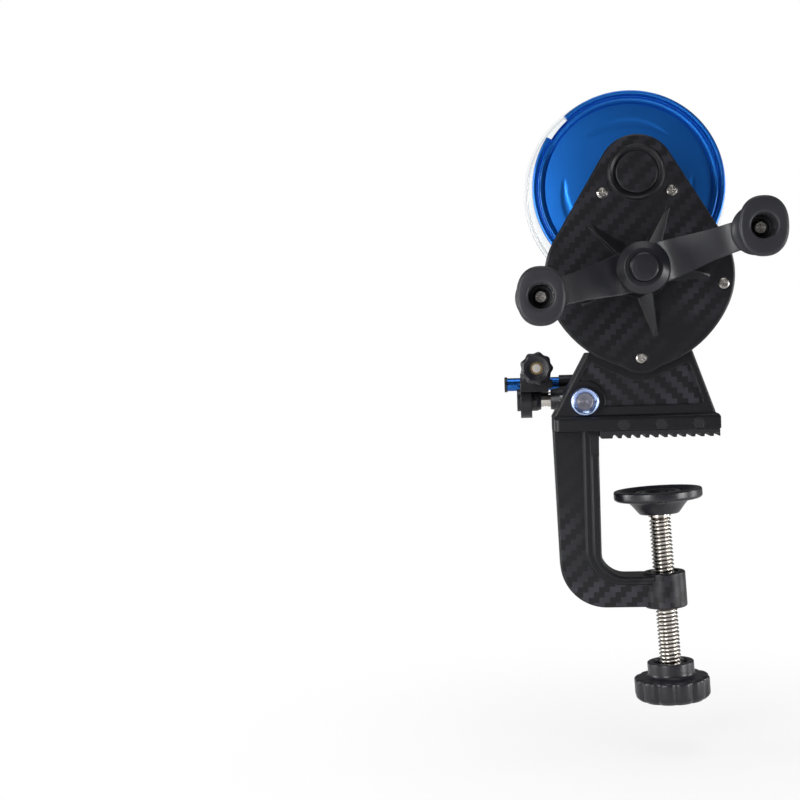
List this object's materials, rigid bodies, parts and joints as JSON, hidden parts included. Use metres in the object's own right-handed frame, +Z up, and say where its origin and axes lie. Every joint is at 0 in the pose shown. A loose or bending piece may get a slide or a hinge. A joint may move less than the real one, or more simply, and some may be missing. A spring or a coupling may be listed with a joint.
{
  "type": "fishing line winder",
  "caption": "Clamp-on line winder: two-knob crank on a geared housing turns a flanged line spool, with a screw clamp below and a folding rod holder at the side.",
  "frame": {"origin": "where the clamp screw's axis meets the plane of the jaw's tooth tips, midway through the jaw", "axes": "+Z up, +Y from the crank back to the spool, +X right as seen from the crank side"},
  "size_m": [0.1185, 0.169, 0.2907],
  "materials": {
    "black_abs": "moulded glass-filled nylon, black, satin",
    "carbon_film": "black cover with a twill carbon-look film under satin lacquer",
    "crank_black": "moulded black nylon, fine matte grain",
    "grip_black": "soft-touch black plastic",
    "knob_black": "moulded black plastic",
    "jaw_rubber": "black rubber",
    "blue_metal": "blue metallic lacquered flange",
    "clear_plastic": "clear moulded polystyrene",
    "pale_blue_anodised": "pale blue anodised tube",
    "blue_anodised": "blue anodised tube",
    "plated_steel": "nickel-plated steel",
    "screw_chrome": "bright plated screws",
    "brass_bush": "sintered bronze",
    "gear_nylon": "natural nylon",
    "spool_plastic": "white plastic core",
    "line_nylon": "clear nylon monofilament, wound",
    "plug_grey": "grey plastic plug"
  },
  "bodies": {
    "frame": {"main_frame": "black_abs", "jaw_strip": "jaw_rubber", "jaw_plugs": "black_abs", "screw_insert": "plated_steel", "gearbox_housing": "black_abs", "gearbox_cover": "carbon_film", "badge_disc": "carbon_film", "cover_screws": "screw_chrome", "housing_screws": "screw_chrome", "crank_bushes": "brass_bush", "spindle_bearings": "plated_steel", "tube_set_screw": "plated_steel"},
    "crank": {"crank_arm": "crank_black", "crank_cap": "crank_black", "crank_nut": "plated_steel", "crank_shaft": "plated_steel", "crank_shaft_clip": "plated_steel", "drive_gear": "gear_nylon", "grip_bushes": "brass_bush", "grip_screws": "screw_chrome"},
    "left_knob": {"left_grip": "grip_black"},
    "right_knob": {"right_grip": "grip_black"},
    "spool": {"spindle": "plated_steel", "spindle_clip": "plated_steel", "pinion": "gear_nylon", "drive_disc": "knob_black", "blue_flange": "blue_metal", "spool_core": "spool_plastic", "clear_flange": "clear_plastic", "wound_line": "line_nylon"},
    "cone": {"retaining_cone": "knob_black"},
    "hand_nut": {"lock_nut": "knob_black"},
    "washer": {"thrust_washer": "plated_steel"},
    "screw": {"clamp_screw": "plated_steel", "knob_pin": "plated_steel", "screw_knob": "knob_black", "pad_retainer": "plated_steel"},
    "pad": {"clamp_pad": "knob_black"},
    "tube": {"cross_tube": "pale_blue_anodised", "tube_plugs": "plug_grey"},
    "arm": {"arm_bracket": "black_abs", "stay_tube": "blue_anodised", "stay_cap": "knob_black"},
    "holder": {"holder_block": "black_abs", "holder_ring": "knob_black", "rod_sleeve": "knob_black", "chrome_shaft": "screw_chrome", "clamp_bolt": "plated_steel"},
    "bolt_washer": {"knob_washer": "plated_steel"},
    "clamp_knob": {"lobed_knob": "knob_black", "knob_nut": "brass_bush"}
  },
  "joints": [
    {"name": "crank_turn", "type": "hinge", "parent": "frame", "child": "crank", "pos_m": [-0.0055, -0.035, 0.075], "axis": [0, 1, 0], "continuous": true},
    {"name": "left_knob_spin", "type": "hinge", "parent": "crank", "child": "left_knob", "pos_m": [-0.05048, -0.068, 0.06244], "axis": [0, 1, 0], "continuous": true},
    {"name": "right_knob_spin", "type": "hinge", "parent": "crank", "child": "right_knob", "pos_m": [0.03948, -0.068, 0.08756], "axis": [0, 1, 0], "continuous": true},
    {"name": "spool_turn", "type": "hinge", "parent": "frame", "child": "spool", "pos_m": [-0.0063, 0.045, 0.11824], "axis": [0, 1, 0], "continuous": true},
    {"name": "cone_slide", "type": "slide", "parent": "spool", "child": "cone", "axis": [0, 1, 0], "range_m": [0, 0.012]},
    {"name": "hand_nut_turn", "type": "hinge", "parent": "cone", "child": "hand_nut", "pos_m": [-0.0063, 0.07, 0.11824], "axis": [0, 1, 0], "range_deg": [0, 3460]},
    {"name": "pad_travel", "type": "slide", "parent": "frame", "child": "washer", "axis": [-0.0488, 0, 0.9988], "range_m": [-0.0235, 0.0208]},
    {"name": "screw_turn", "type": "hinge", "parent": "washer", "child": "screw", "pos_m": [0.00488, 0, -0.09988], "axis": [-0.0488, 0, 0.9988], "range_deg": [-4840, 4290]},
    {"name": "pad_tilt", "type": "hinge", "parent": "washer", "child": "pad", "pos_m": [0.00152, 0, -0.03116], "axis": [0, 1, 0], "range_deg": [-3, 3]},
    {"name": "tube_slide", "type": "slide", "parent": "frame", "child": "tube", "axis": [0, 1, 0], "range_m": [0, 0.02]},
    {"name": "arm_swing", "type": "hinge", "parent": "tube", "child": "arm", "pos_m": [-0.0315, 0.03, 0.0171], "axis": [0, 1, 0], "range_deg": [-30, 20]},
    {"name": "holder_slide", "type": "slide", "parent": "arm", "child": "holder", "axis": [1, 0, 0], "range_m": [-0.004, 0]},
    {"name": "bolt_washer_slide", "type": "slide", "parent": "holder", "child": "bolt_washer", "axis": [0, -1, 0], "range_m": [0, 0.0016]},
    {"name": "clamp_knob_turn", "type": "hinge", "parent": "bolt_washer", "child": "clamp_knob", "pos_m": [-0.0527, 0.008, 0.0324], "axis": [0, -1, 0], "range_deg": [0, 730]}
  ],
  "couplings": [
    {"joint": "spool_turn", "follows": "crank_turn", "ratio": -3},
    {"joint": "hand_nut_turn", "follows": "cone_slide", "rad_per_m": 5026.5},
    {"joint": "screw_turn", "follows": "pad_travel", "rad_per_m": 3590.4},
    {"joint": "clamp_knob_turn", "follows": "bolt_washer_slide", "rad_per_m": 7854}
  ]
}
